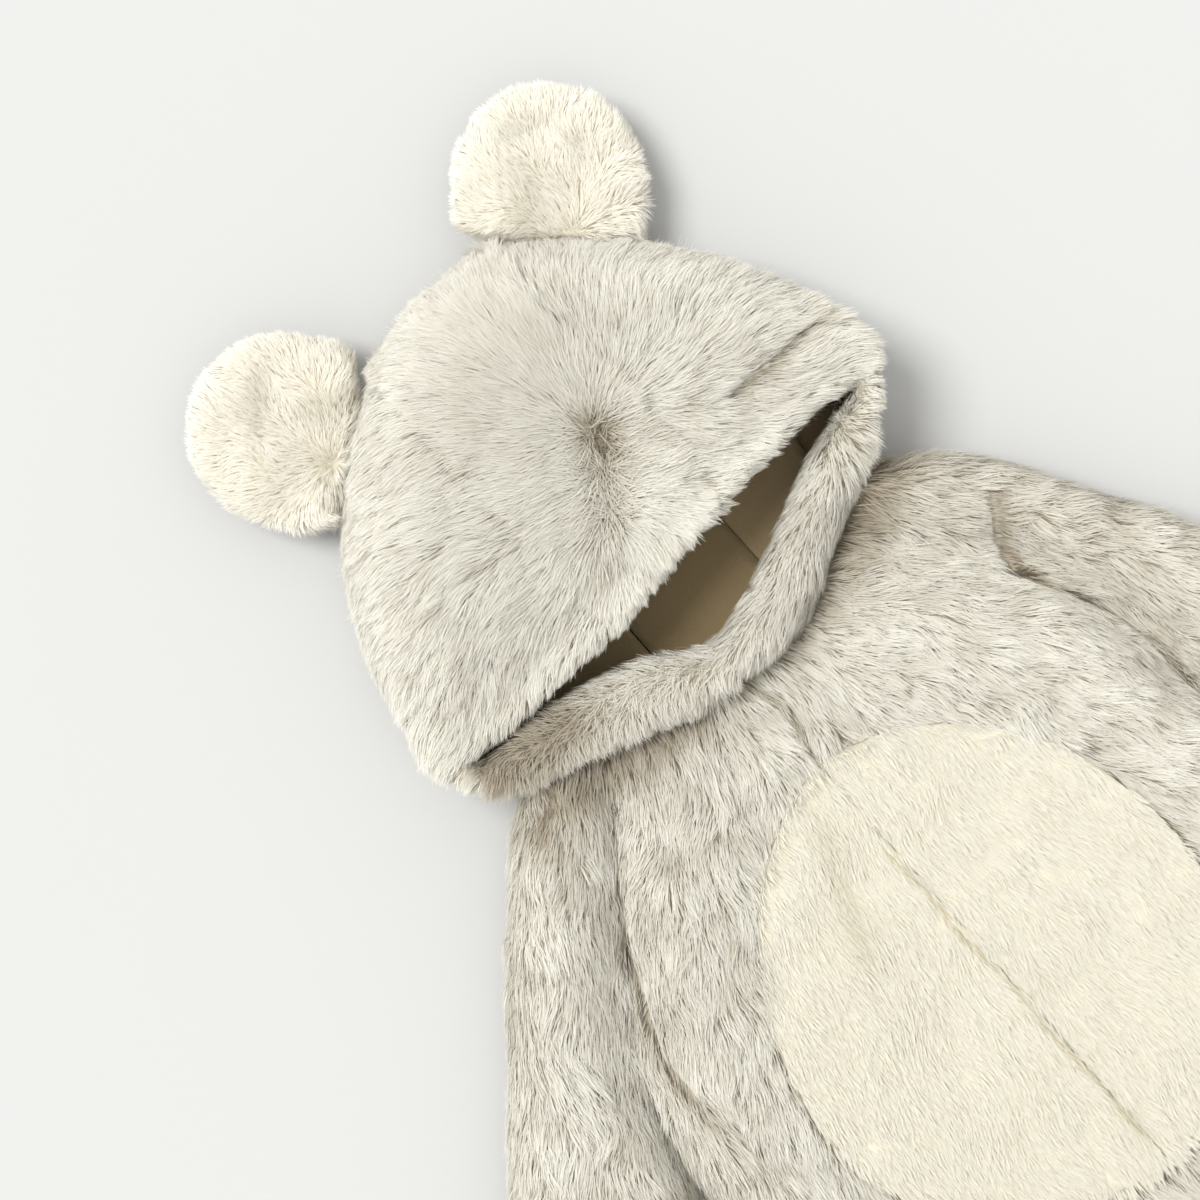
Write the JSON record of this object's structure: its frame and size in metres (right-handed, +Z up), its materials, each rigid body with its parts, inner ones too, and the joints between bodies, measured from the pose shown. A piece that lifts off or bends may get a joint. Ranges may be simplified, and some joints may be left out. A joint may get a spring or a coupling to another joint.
{
  "type": "hooded sleepsuit",
  "caption": "Long-pile plush hooded all-in-one with round ears, raglan sleeves, an oval belly patch and open cuffs and legs, laid flat face up.",
  "frame": {"origin": "on the floor, under the middle of the laid-out suit's bounding box", "axes": "+Z up from the floor, +Y toward the head, +X toward the wearer's left"},
  "size_m": [0.637, 0.7796, 0.068],
  "materials": {
    "grey_plush": "pale grey-beige long-pile plush",
    "cream_plush": "cream short-pile plush",
    "taupe_lining": "smooth brushed knit lining"
  },
  "bodies": {
    "root": {"hood_centre": "grey_plush", "hood_left": "grey_plush", "hood_right": "grey_plush", "lining_centre": "taupe_lining", "lining_left": "taupe_lining", "lining_right": "taupe_lining", "ear_front_left": "cream_plush", "ear_front_right": "cream_plush", "ear_back_left": "grey_plush", "ear_back_right": "grey_plush", "front_left": "grey_plush", "front_right": "grey_plush", "patch_left": "cream_plush", "patch_right": "cream_plush", "sleeve_left": "grey_plush", "sleeve_right": "grey_plush", "back_left": "grey_plush", "back_right": "grey_plush"}
  },
  "joints": []
}
